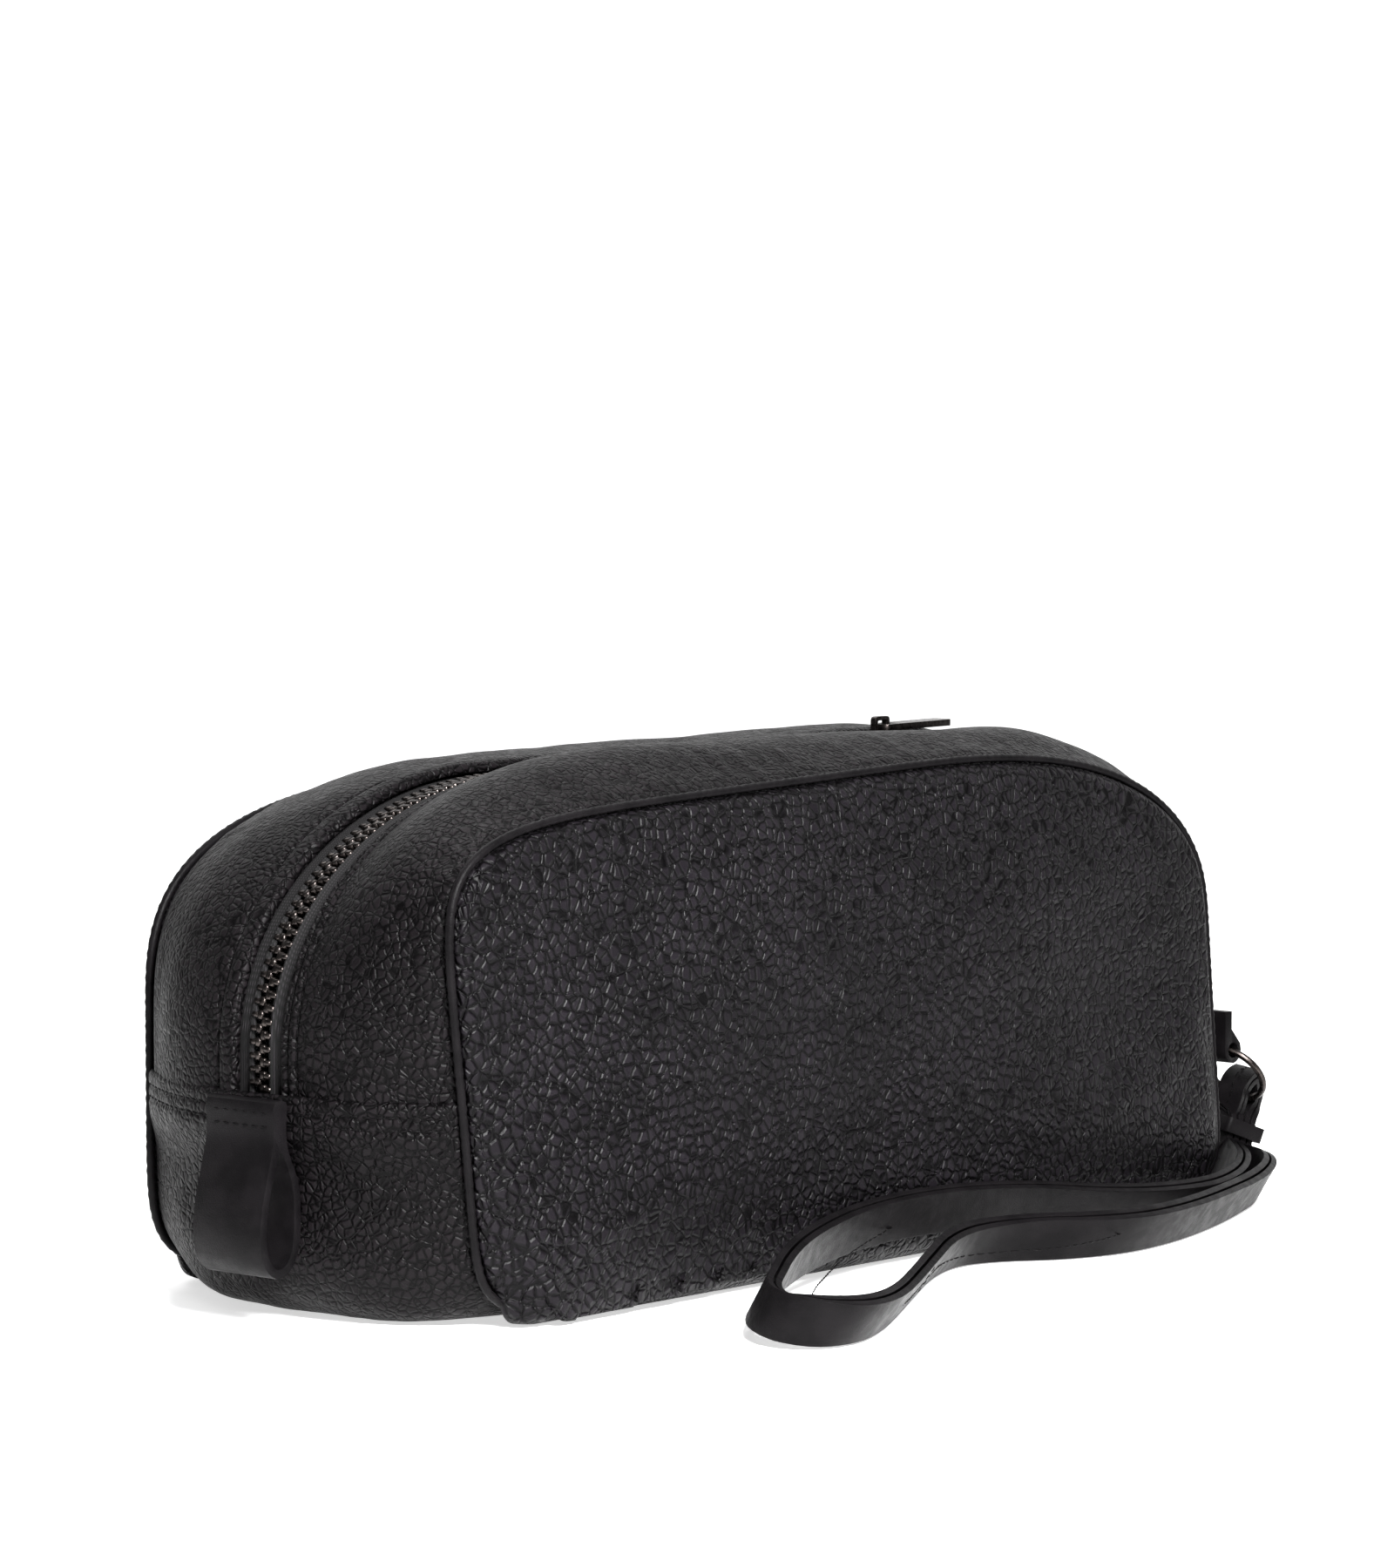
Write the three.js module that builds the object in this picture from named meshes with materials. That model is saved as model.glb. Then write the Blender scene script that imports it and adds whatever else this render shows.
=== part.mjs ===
// Soft leather wash bag with a zip over its top, an end tab and a wrist strap on a ring.
// Millimetres. X runs along the bag, Y from front to back, Z up. The origin is on the
// ground under the middle of the bag.
import * as THREE from 'three';

// Seam outlines of the two sides, seen from the front: rounded rectangles with a roundness
// for each corner. The front one leans a little to the left and rises to the right.
const SEAM_FRONT = {
  half: 137.8,
  height: 56.7,
  middle: 59.1,
  shift: -2.06,
  left: 6.5,
  right: 3,
  base: 11.4,
  lean: 0.114,
  rise: 0.028,
};
const SEAM_BACK = {
  half: 139,
  height: 56,
  middle: 58.5,
  shift: 0,
  left: 3.4,
  right: 3.3,
  base: 8,
  lean: 0,
  rise: 0,
};
const HALF_DEPTH = 49;
const LEATHER = 1.9;
const LINING = 0.8;
const GAP = 0.35;

// Half the length over the two ends, and the rounding where they meet the base.
const BODY_HALF = 152.3;
const BASE_CORNER = 15;

// How far the soft faces stand out from the seams.
const PANEL_PUFF = 7.5;
const TOP_PUFF_LEFT = 6.5;
const TOP_PUFF_RIGHT = 3.5;
const TOP_PUFF_BACK = 1.6;

// Zip.
const ZIP_TOP = 117;
const ZIP_CORNER_X = 77;
const ZIP_CORNER_Z = 57;
const ZIP_SLOT_HALF = 6.6;
const TAPE_HALF = 13;
const FLAT_HALF = 13.4;
const TAPE_THICK = 0.6;
const ROW_WIDTH = 2.9;
const ROW_HEIGHT = 2.4;
const CHAIN_HALF_GAP = 0.15;

// How far the leather beside the zip stands above the tape's middle.
const LIP = LEATHER + GAP + TAPE_THICK / 2;

// Lap seam, where the base strip covers the ends of the top strips.
const LAP_TOP = 51.8;
const LAP_BOTTOM = 44.4;
const LAP_STEP = LEATHER + GAP;
const LAP_FADE = 12;

// Seam welt.
const WELT_RADIUS = 1.45;
const WELT_OUT = 0.5;

// Slider and puller.
const SLIDER_X = 68;
const SLIDER_LENGTH = 13;
const SLIDER_WIDTH = 9.6;
const SLIDER_PLATE = 1.3;
const PULL_LENGTH = 26;
const PULL_WIDTH = 6;
const PULL_THICK = 1.6;

// Left end tab: a strip folded into a drop-shaped loop.
const TAB_WIDTH = 21;
const TAB_Y = -2;

// Keeper tab and ring on the right end.
const RING_TOP = new THREE.Vector3(150.8, -43.6, 36.5);
const RING_RADIUS = 8.3;
const RING_WIRE = 0.9;
const RING_TILT = THREE.MathUtils.degToRad(37);
const KEEPER_WIDTH = 6.4;
const KEEPER_THICK = 1.3;
const KEEPER_TOP = 46.5;

// Wrist strap: two plies, one loop through the ring, held by a collar.
const STRAP_WIDTH = 11;
const STRAP_WIDTH_AT_RING = 7.4;
const STRAP_PLY = 1.55;
const STRAP_GAP = 0.62;
const STRAP_BEND = 6.6;
const STRAP_ON_RING = THREE.MathUtils.degToRad(-12);
const COLLAR_WALL = 1.2;
const COLLAR_HEIGHT = 3.8;
const COLLAR_FROM_RING = 8.4;

const LEATHER_BLACK = { color: 0x1d1a1c, roughness: 0.52, metalness: 0 };
const LEATHER_SMOOTH = { color: 0x211d1f, roughness: 0.48, metalness: 0 };
const FABRIC_BLACK = { color: 0x151416, roughness: 0.9, metalness: 0 };
const LINING_GREY = { color: 0x2b2a2e, roughness: 0.85, metalness: 0 };
const GUNMETAL = { color: 0x2a292b, roughness: 0.3, metalness: 0.9 };

const group = new THREE.Group();
group.name = 'makeup_bag';

function add(name, geometry, look) {
  const material = new THREE.MeshStandardMaterial(look);
  material.name = name;
  const mesh = new THREE.Mesh(geometry, material);
  mesh.name = name;
  group.add(mesh);
  return mesh;
}

function clamp01(value) {
  return Math.min(1, Math.max(0, value));
}

function smooth(value) {
  const t = clamp01(value);
  return t * t * (3 - 2 * t);
}

function mix(a, b, t) {
  return a + (b - a) * t;
}

// A closed solid between two surfaces on one (columns x rows) grid of corners.
function slab(outer, inner, columns, rows) {
  const positions = [];
  const index = [];
  const wide = rows + 1;
  const layer = (columns + 1) * wide;
  for (const surface of [outer, inner]) {
    for (let i = 0; i <= columns; i += 1) {
      for (let j = 0; j <= rows; j += 1) {
        const p = surface(i / columns, j / rows);
        positions.push(p.x, p.y, p.z);
      }
    }
  }
  const at = (i, j, k) => k * layer + i * wide + j;
  const quad = (a, b, c, d) => index.push(a, b, c, a, c, d);
  for (let i = 0; i < columns; i += 1) {
    for (let j = 0; j < rows; j += 1) {
      quad(at(i, j, 0), at(i + 1, j, 0), at(i + 1, j + 1, 0), at(i, j + 1, 0));
      quad(at(i, j, 1), at(i, j + 1, 1), at(i + 1, j + 1, 1), at(i + 1, j, 1));
    }
    quad(at(i, 0, 0), at(i, 0, 1), at(i + 1, 0, 1), at(i + 1, 0, 0));
    quad(at(i, rows, 0), at(i + 1, rows, 0), at(i + 1, rows, 1), at(i, rows, 1));
  }
  for (let j = 0; j < rows; j += 1) {
    quad(at(0, j, 0), at(0, j + 1, 0), at(0, j + 1, 1), at(0, j, 1));
    quad(at(columns, j, 0), at(columns, j, 1), at(columns, j + 1, 1), at(columns, j + 1, 0));
  }
  const geometry = new THREE.BufferGeometry();
  geometry.setAttribute('position', new THREE.Float32BufferAttribute(positions, 3));
  geometry.setIndex(index);
  return outward(geometry);
}

// Turns a closed geometry's faces so that its volume is positive.
function outward(geometry) {
  const p = geometry.getAttribute('position');
  const index = geometry.index.array;
  const a = new THREE.Vector3();
  const b = new THREE.Vector3();
  const c = new THREE.Vector3();
  let volume = 0;
  for (let i = 0; i < index.length; i += 3) {
    a.fromBufferAttribute(p, index[i]);
    b.fromBufferAttribute(p, index[i + 1]);
    c.fromBufferAttribute(p, index[i + 2]);
    volume += a.dot(b.cross(c));
  }
  if (volume < 0) {
    for (let i = 0; i < index.length; i += 3) {
      const keep = index[i + 1];
      index[i + 1] = index[i + 2];
      index[i + 2] = keep;
    }
  }
  geometry.computeVertexNormals();
  return geometry;
}

// A tube of a given section (points across and up) along frames, open or closed.
function sweep(frames, section, closed) {
  const positions = [];
  const index = [];
  const n = section.length;
  for (const frame of frames) {
    for (const [across, up] of section) {
      const p = frame.at.clone();
      p.addScaledVector(frame.across, across);
      p.addScaledVector(frame.up, up);
      positions.push(p.x, p.y, p.z);
    }
  }
  const last = closed ? frames.length : frames.length - 1;
  for (let i = 0; i < last; i += 1) {
    const next = (i + 1) % frames.length;
    for (let j = 0; j < n; j += 1) {
      const k = (j + 1) % n;
      index.push(i * n + j, next * n + j, next * n + k, i * n + j, next * n + k, i * n + k);
    }
  }
  if (!closed) {
    const end = (frames.length - 1) * n;
    for (let j = 1; j < n - 1; j += 1) {
      index.push(0, j, j + 1, end, end + j + 1, end + j);
    }
  }
  const geometry = new THREE.BufferGeometry();
  geometry.setAttribute('position', new THREE.Float32BufferAttribute(positions, 3));
  geometry.setIndex(index);
  return outward(geometry);
}

function roundSection(radius, sides) {
  const points = [];
  for (let i = 0; i < sides; i += 1) {
    const angle = (i / sides) * Math.PI * 2;
    points.push([Math.cos(angle) * radius, Math.sin(angle) * radius]);
  }
  return points;
}

// A side's seam outline at a direction (radians), moved out by some distance, as {x, z, nx, nz}.
function outline(seam, direction, out) {
  const point = (angle) => {
    const c = Math.cos(angle);
    const s = Math.sin(angle);
    const upper = 0.5 * (1 + Math.tanh(4 * s));
    const corner = mix(seam.left, seam.right, 0.5 * (1 + Math.tanh(3 * c)));
    const n = mix(seam.base, corner, upper);
    const r = (Math.abs(c) ** n + Math.abs(s) ** n) ** (-1 / n);
    const x = seam.half * c * r;
    const z = seam.height * s * r;
    return [seam.shift + x - seam.lean * z, seam.middle + z + seam.rise * upper * x];
  };
  const [x, z] = point(direction);
  const [x0, z0] = point(direction - 0.001);
  const [x1, z1] = point(direction + 0.001);
  const length = Math.hypot(x1 - x0, z1 - z0);
  const nx = (z1 - z0) / length;
  const nz = (x0 - x1) / length;
  return { x: x + nx * out, z: z + nz * out, nx, nz };
}

// Points at equal steps of length along a path given by dense samples.
function evenly(samples) {
  const lengths = [0];
  for (let i = 1; i < samples.length; i += 1) {
    const dx = samples[i].x - samples[i - 1].x;
    const dz = samples[i].z - samples[i - 1].z;
    lengths.push(lengths[i - 1] + Math.hypot(dx, dz));
  }
  const total = lengths[lengths.length - 1];
  return (fraction) => {
    const want = clamp01(fraction) * total;
    let i = 1;
    while (i < samples.length - 1 && lengths[i] < want) {
      i += 1;
    }
    const t = (want - lengths[i - 1]) / (lengths[i] - lengths[i - 1]);
    const a = samples[i - 1];
    const b = samples[i];
    const nx = mix(a.nx, b.nx, t);
    const nz = mix(a.nz, b.nz, t);
    const n = Math.hypot(nx, nz);
    return { x: mix(a.x, b.x, t), z: mix(a.z, b.z, t), nx: nx / n, nz: nz / n };
  };
}

// A side's seam from end to end, over the top (way 1) or under the base (way -1).
function seamPath(seam, way, height) {
  const samples = [];
  for (let i = 0; i <= 1600; i += 1) {
    const angle = Math.PI / 2 + mix(0.8, -0.8, i / 1600) * Math.PI;
    const p = outline(seam, way * angle, 0);
    if ((p.z - height) * way >= 0) {
      samples.push(p);
    }
  }
  return evenly(samples);
}

// The middle line from end to end: straight ends, elliptical corners and a level middle.
function middlePath(way, height, level, cornerX, cornerZ) {
  const end = BODY_HALF;
  const samples = [{ x: -end, z: height, nx: -1, nz: 0 }];
  for (const side of [-1, 1]) {
    for (let i = 0; i <= 60; i += 1) {
      const a = (side < 0 ? 1 - i / 60 : i / 60) * (Math.PI / 2);
      const s = Math.sin(a);
      const c = Math.cos(a);
      const nx = (side * s) / cornerX;
      const nz = (way * c) / cornerZ;
      const n = Math.hypot(nx, nz);
      samples.push({
        x: side * (end - cornerX + cornerX * s),
        z: level - way * cornerZ * (1 - c),
        nx: nx / n,
        nz: nz / n,
      });
    }
  }
  samples.push({ x: end, z: height, nx: 1, nz: 0 });
  return evenly(samples);
}

const topSeams = {
  '-1': seamPath(SEAM_FRONT, 1, LAP_BOTTOM),
  1: seamPath(SEAM_BACK, 1, LAP_BOTTOM),
};
const baseSeams = {
  '-1': seamPath(SEAM_FRONT, -1, LAP_TOP),
  1: seamPath(SEAM_BACK, -1, LAP_TOP),
};
const zipLine = middlePath(1, LAP_BOTTOM, ZIP_TOP, ZIP_CORNER_X, ZIP_CORNER_Z);
const baseLine = middlePath(-1, LAP_TOP, -0.5, BASE_CORNER, BASE_CORNER);

// A path's point where -1 is its left end, 0 its middle and 1 its right end.
function along(path, place) {
  return path((place + 1) / 2);
}

// How far a strip has risen from its seam towards its middle line.
function crown(y, rim, power) {
  return 1 - clamp01((Math.abs(y) - FLAT_HALF) / (rim - FLAT_HALF)) ** power;
}

function topPuff(place, side) {
  const p = along(topSeams[side], place);
  const front = mix(TOP_PUFF_LEFT, TOP_PUFF_RIGHT, smooth((p.x + 40) / 130));
  const lift = side < 0 ? front : TOP_PUFF_BACK;
  return lift * smooth((1 - Math.abs(place)) / 0.42);
}

// A point of a top strip: place runs end to end, t runs from the seam (0) to the zip (1).
function topStrip(place, t, side, depth, rim) {
  const seam = along(topSeams[side], place);
  const zip = along(zipLine, place);
  const y = mix(rim, ZIP_SLOT_HALF, t);
  const rise = crown(y, rim, 2);
  const nx = mix(seam.nx, zip.nx, rise);
  const nz = mix(seam.nz, zip.nz, rise);
  const n = Math.hypot(nx, nz);
  const out = LIP * rise + topPuff(place, side) * 4 * t * (1 - t) - depth;
  const x = mix(seam.x, zip.x, rise) + (nx / n) * out;
  const z = mix(seam.z, zip.z, rise) + (nz / n) * out;
  return new THREE.Vector3(x, side * y, z);
}

// A point of the base strip: place runs end to end, t from front (-1) to back (1).
function baseStrip(place, t, depth, rim) {
  const seam = along(baseSeams[t < 0 ? -1 : 1], place);
  const mid = along(baseLine, place);
  const turn = mix(rim, ZIP_SLOT_HALF, 0.8);
  const far = Math.abs(t);
  const y = far > 0.2 ? mix(rim, turn, (1 - far) / 0.8) : mix(0, turn, far / 0.2);
  const flatness = smooth((1 - Math.abs(place) - 0.22) / 0.2);
  const rise = crown(y, rim, mix(2, 8, flatness));
  const nx = mix(seam.nx, mid.nx, rise);
  const nz = mix(seam.nz, mid.nz, rise);
  const n = Math.hypot(nx, nz);
  const down = LAP_TOP - mix(seam.z, mid.z, rise);
  const under = LAP_TOP - LAP_BOTTOM;
  const lap = (LAP_STEP + LIP * rise) * (1 - smooth((down - under) / LAP_FADE));
  const out = lap - depth;
  const x = mix(seam.x, mid.x, rise) + (nx / n) * out;
  const z = mix(seam.z, mid.z, rise) + (nz / n) * out;
  return new THREE.Vector3(x, Math.sign(t) * y, Math.max(z, depth));
}

// A point of a side panel: u and v run from -1 to 1 across it.
function panel(u, v, side, shrink, base, puff) {
  const seam = side < 0 ? SEAM_FRONT : SEAM_BACK;
  const size = Math.max(Math.abs(u), Math.abs(v));
  const edge = outline(seam, Math.atan2(v, u), -shrink);
  const swell = 1 - size ** 3.4;
  const x = mix(seam.shift, edge.x, size);
  const z = mix(seam.middle, edge.z, size);
  return new THREE.Vector3(x, side * (base + puff * swell), z);
}

function makePanels() {
  for (const [name, side] of [['front_panel', -1], ['back_panel', 1]]) {
    const shrink = WELT_RADIUS - WELT_OUT + 0.75;
    const outer = (i, j) => panel(2 * i - 1, 2 * j - 1, side, shrink, 51.1, PANEL_PUFF);
    const inner = (i, j) => panel(2 * i - 1, 2 * j - 1, side, shrink, 49.2, PANEL_PUFF);
    add(name, slab(outer, inner, 22, 10), LEATHER_BLACK);
  }
  for (const [name, side] of [['front_lining', -1], ['back_lining', 1]]) {
    const shrink = 4.2;
    const outer = (i, j) => panel(2 * i - 1, 2 * j - 1, side, shrink, 48.7, PANEL_PUFF - 1.3);
    const inner = (i, j) => panel(2 * i - 1, 2 * j - 1, side, shrink, 47.9, PANEL_PUFF - 1.3);
    add(name, slab(outer, inner, 14, 6), LINING_GREY);
  }
}

function makeStrips() {
  const rim = HALF_DEPTH - WELT_RADIUS - GAP;
  for (const [name, side] of [['top_gusset_front', -1], ['top_gusset_back', 1]]) {
    const outer = (i, j) => topStrip(2 * i - 1, j, side, 0, rim);
    const inner = (i, j) => topStrip(2 * i - 1, j, side, LEATHER, rim);
    add(name, slab(outer, inner, 48, 5), LEATHER_BLACK);
  }
  for (const [name, side] of [['top_lining_front', -1], ['top_lining_back', 1]]) {
    const start = LEATHER + 0.6;
    const outer = (i, j) => topStrip(2 * i - 1, j * 0.6, side, start, rim);
    const inner = (i, j) => topStrip(2 * i - 1, j * 0.6, side, start + LINING, rim);
    add(name, slab(outer, inner, 48, 3), LINING_GREY);
  }
  const outer = (i, j) => baseStrip(2 * i - 1, 2 * j - 1, 0, rim);
  const inner = (i, j) => baseStrip(2 * i - 1, 2 * j - 1, LEATHER, rim);
  add('base_gusset', slab(outer, inner, 48, 10), LEATHER_BLACK);
  const shorter = 0.9;
  const top = (i, j) => baseStrip((2 * i - 1) * shorter, 2 * j - 1, LEATHER + 0.6, rim);
  const low = (i, j) => baseStrip((2 * i - 1) * shorter, 2 * j - 1, LEATHER + 0.6 + LINING, rim);
  add('base_lining', slab(top, low, 36, 4), LINING_GREY);
}

function makeWelts() {
  for (const [name, side] of [['front_welt', -1], ['back_welt', 1]]) {
    const samples = [];
    const seam = side < 0 ? SEAM_FRONT : SEAM_BACK;
    for (let i = 0; i <= 1200; i += 1) {
      samples.push(outline(seam, -Math.PI / 2 + (i / 1200) * Math.PI * 2, WELT_OUT));
    }
    const at = evenly(samples);
    const frames = [];
    const steps = 68;
    for (let i = 0; i < steps; i += 1) {
      const p = at(i / steps);
      frames.push({
        at: new THREE.Vector3(p.x, side * HALF_DEPTH, p.z),
        across: new THREE.Vector3(0, 1, 0),
        up: new THREE.Vector3(p.nx, 0, p.nz),
      });
    }
    add(name, sweep(frames, roundSection(WELT_RADIUS, 6), true), LEATHER_BLACK);
  }
}

function zipFrames(steps, reach, side) {
  const frames = [];
  for (let i = 0; i <= steps; i += 1) {
    const p = along(zipLine, mix(-reach, reach, i / steps));
    frames.push({
      at: new THREE.Vector3(p.x, 0, p.z),
      across: new THREE.Vector3(0, side, 0),
      up: new THREE.Vector3(p.nx, 0, p.nz),
    });
  }
  return frames;
}

function makeZip() {
  const inner = CHAIN_HALF_GAP + ROW_WIDTH;
  for (const [name, side] of [['front', -1], ['back', 1]]) {
    const tape = [
      [inner + 0.3, -TAPE_THICK / 2],
      [TAPE_HALF, -TAPE_THICK / 2],
      [TAPE_HALF, TAPE_THICK / 2],
      [inner + 0.3, TAPE_THICK / 2],
    ];
    add(`zip_tape_${name}`, sweep(zipFrames(48, 0.995, side), tape, false), FABRIC_BLACK);
    const row = [
      [CHAIN_HALF_GAP, -ROW_HEIGHT / 2],
      [inner, -ROW_HEIGHT / 2],
      [inner, ROW_HEIGHT / 2],
      [CHAIN_HALF_GAP, ROW_HEIGHT / 2],
    ];
    add(`zip_teeth_${name}`, sweep(zipFrames(48, 0.965, side), row, false), GUNMETAL);
  }
}

// A solid of constant outline: shape's own x and y run along two directions.
function extruded(shape, depth, at, along, upward) {
  const geometry = new THREE.ExtrudeGeometry(shape, {
    depth,
    bevelEnabled: false,
    curveSegments: 5,
  });
  geometry.translate(0, 0, -depth / 2);
  const third = new THREE.Vector3().crossVectors(along, upward);
  const turn = new THREE.Matrix4().makeBasis(along, upward, third);
  geometry.applyMatrix4(turn);
  geometry.translate(at.x, at.y, at.z);
  return geometry;
}

function roundedRectangle(path, x0, x1, y0, y1, corner) {
  path.moveTo(x0 + corner, y0);
  path.lineTo(x1 - corner, y0);
  path.quadraticCurveTo(x1, y0, x1, y0 + corner);
  path.lineTo(x1, y1 - corner);
  path.quadraticCurveTo(x1, y1, x1 - corner, y1);
  path.lineTo(x0 + corner, y1);
  path.quadraticCurveTo(x0, y1, x0, y1 - corner);
  path.lineTo(x0, y0 + corner);
  path.quadraticCurveTo(x0, y0, x0 + corner, y0);
  return path;
}

const AXIS_X = new THREE.Vector3(1, 0, 0);
const AXIS_Y = new THREE.Vector3(0, 1, 0);
const AXIS_Z = new THREE.Vector3(0, 0, 1);

function makeSlider() {
  const clear = ROW_HEIGHT / 2 + GAP;
  const half = SLIDER_LENGTH / 2;
  const wide = SLIDER_WIDTH / 2;
  const roof = ZIP_TOP + clear + SLIDER_PLATE;
  for (const [name, z] of [
    ['zip_slider_top', roof - SLIDER_PLATE / 2],
    ['zip_slider_under', ZIP_TOP - clear - SLIDER_PLATE / 2],
  ]) {
    const shape = roundedRectangle(new THREE.Shape(), -half, half, -wide, wide, 2.6);
    const at = new THREE.Vector3(SLIDER_X, 0, z);
    add(name, extruded(shape, SLIDER_PLATE, at, AXIS_X, AXIS_Y), GUNMETAL);
  }
  const arch = new THREE.Shape();
  arch.moveTo(-5, 0);
  arch.lineTo(-4, 0);
  arch.lineTo(-4, 2.4);
  arch.quadraticCurveTo(-4, 2.9, -3.5, 2.9);
  arch.lineTo(-1.1, 2.9);
  arch.quadraticCurveTo(-0.6, 2.9, -0.6, 2.4);
  arch.lineTo(-0.6, 0);
  arch.lineTo(0.6, 0);
  arch.lineTo(0.6, 2.7);
  arch.quadraticCurveTo(0.6, 3.9, -0.6, 3.9);
  arch.lineTo(-3.8, 3.9);
  arch.quadraticCurveTo(-5, 3.9, -5, 2.7);
  arch.lineTo(-5, 0);
  const foot = new THREE.Vector3(SLIDER_X, 0, roof + 0.3);
  add('zip_slider_bail', extruded(arch, 1.6, foot, AXIS_X, AXIS_Z), GUNMETAL);
  const pull = new THREE.Shape();
  roundedRectangle(pull, -3, PULL_LENGTH - 3, -PULL_WIDTH / 2, PULL_WIDTH / 2, 1.8);
  const eye = roundedRectangle(new THREE.Path(), -1.7, 2.8, -1.5, 1.5, 0.9);
  pull.holes.push(eye);
  const flat = new THREE.Vector3(SLIDER_X, 0, roof + 0.7 + PULL_THICK / 2);
  add('zip_puller', extruded(pull, PULL_THICK, flat, AXIS_X, AXIS_Y), GUNMETAL);
}

// The end stops that close the chain at each end of the zip.
function makeStops() {
  for (const [name, side] of [['zip_stop_left', -1], ['zip_stop_right', 1]]) {
    const p = along(zipLine, side * 0.978);
    const at = new THREE.Vector3(p.x, 0, p.z);
    const shape = roundedRectangle(new THREE.Shape(), -3.4, 3.4, -1.3, 1.3, 0.6);
    const bar = extruded(shape, 1.3, at, AXIS_Y, AXIS_Z);
    bar.translate(side * (TAPE_THICK / 2 + 0.3 + 0.65), 0, 0);
    add(name, bar, GUNMETAL);
  }
}

function splineShape(target, points) {
  const curve = new THREE.CatmullRomCurve3(
    points.map(([x, z]) => new THREE.Vector3(x, z, 0)), true, 'centripetal');
  const found = curve.getPoints(points.length * 3);
  target.setFromPoints(found.slice(0, -1).map((p) => new THREE.Vector2(p.x, p.y)));
  return target;
}

function makeEndTab() {
  const end = -BODY_HALF;
  const shape = splineShape(new THREE.Shape(), [
    [-5.3, 50.6], [-9.0, 50.6], [-9.2, 46], [-9.3, 42], [-10.8, 36], [-12.9, 28],
    [-13.7, 20], [-12.1, 14.2], [-8.5, 11.4], [-4.3, 12.7], [-1.5, 17.4],
    [-0.9, 24], [-1.1, 30], [-2.3, 34.5], [-4.2, 38.5], [-5.2, 42], [-5.3, 46],
  ].map(([x, z]) => [end + x, z]));
  const hole = splineShape(new THREE.Path(), [
    [-7.0, 39.6], [-8.7, 36], [-10.9, 28], [-11.7, 20.2], [-10.5, 15.6], [-8.1, 13.4],
    [-5.1, 14.5], [-3.4, 18.4], [-2.9, 24], [-3.1, 30], [-4.4, 34.8], [-6.0, 38.4],
  ].map(([x, z]) => [end + x, z]));
  shape.holes.push(hole);
  const at = new THREE.Vector3(0, TAB_Y, 0);
  add('end_tab', extruded(shape, TAB_WIDTH, at, AXIS_X, AXIS_Z), LEATHER_SMOOTH);
}

function makeKeeper() {
  const x = RING_TOP.x;
  const z = RING_TOP.z;
  const inner = RING_WIRE + 1.15;
  const outer = inner + KEEPER_THICK;
  const back = x - outer;
  const front = back + 2 * KEEPER_THICK + 0.1;
  const shape = new THREE.Shape();
  shape.moveTo(back, KEEPER_TOP);
  shape.lineTo(back, z);
  shape.absarc(x, z, outer, Math.PI, Math.PI * 2, false);
  shape.lineTo(x + outer - 0.4, z + 1.6);
  shape.lineTo(front, z + 5.4);
  shape.lineTo(front, KEEPER_TOP);
  const hole = new THREE.Path();
  hole.absarc(x, z, inner, 0, Math.PI * 2, true);
  shape.holes.push(hole);
  const at = new THREE.Vector3(0, RING_TOP.y, 0);
  add('ring_keeper', extruded(shape, KEEPER_WIDTH, at, AXIS_X, AXIS_Z), LEATHER_SMOOTH);
}

// The direction from the ring's top wire to its far side, and the ring's middle.
const RING_HANG = new THREE.Vector3(Math.sin(RING_TILT), 0, -Math.cos(RING_TILT));
const RING_MIDDLE = RING_TOP.clone().addScaledVector(RING_HANG, RING_RADIUS);

function makeRing() {
  const geometry = new THREE.TorusGeometry(RING_RADIUS, RING_WIRE, 8, 36);
  const third = new THREE.Vector3().crossVectors(AXIS_Y, RING_HANG);
  geometry.applyMatrix4(new THREE.Matrix4().makeBasis(AXIS_Y, RING_HANG, third));
  geometry.translate(RING_MIDDLE.x, RING_MIDDLE.y, RING_MIDDLE.z);
  add('strap_ring', outward(geometry), GUNMETAL);
}

// Where the strap folds round the ring, and the directions there.
function strapFold() {
  const c = Math.cos(STRAP_ON_RING);
  const s = Math.sin(STRAP_ON_RING);
  const at = RING_MIDDLE.clone().addScaledVector(RING_HANG, RING_RADIUS * c);
  at.addScaledVector(AXIS_Y, -RING_RADIUS * s);
  const wide = new THREE.Vector3().addScaledVector(RING_HANG, -s).addScaledVector(AXIS_Y, -c);
  const rise = new THREE.Vector3(0.333, -0.128, 0.934).normalize();
  const collar = at.clone().addScaledVector(rise, -COLLAR_FROM_RING);
  const up = rise.clone().addScaledVector(wide, -rise.dot(wide)).normalize();
  const stack = new THREE.Vector3().crossVectors(up, wide).normalize();
  return { at, wide, up, stack, rise, collar };
}

// One point of the strap's middle line: place, direction across its width, width.
function station(at, wide, width) {
  return { at, wide: wide.clone().normalize(), width };
}

// The strap leans towards the front by this much (degrees from upright).
function leaning(degrees, sideways) {
  const a = THREE.MathUtils.degToRad(degrees);
  return new THREE.Vector3(sideways * Math.sin(a), -Math.sin(a), Math.cos(a));
}

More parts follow.
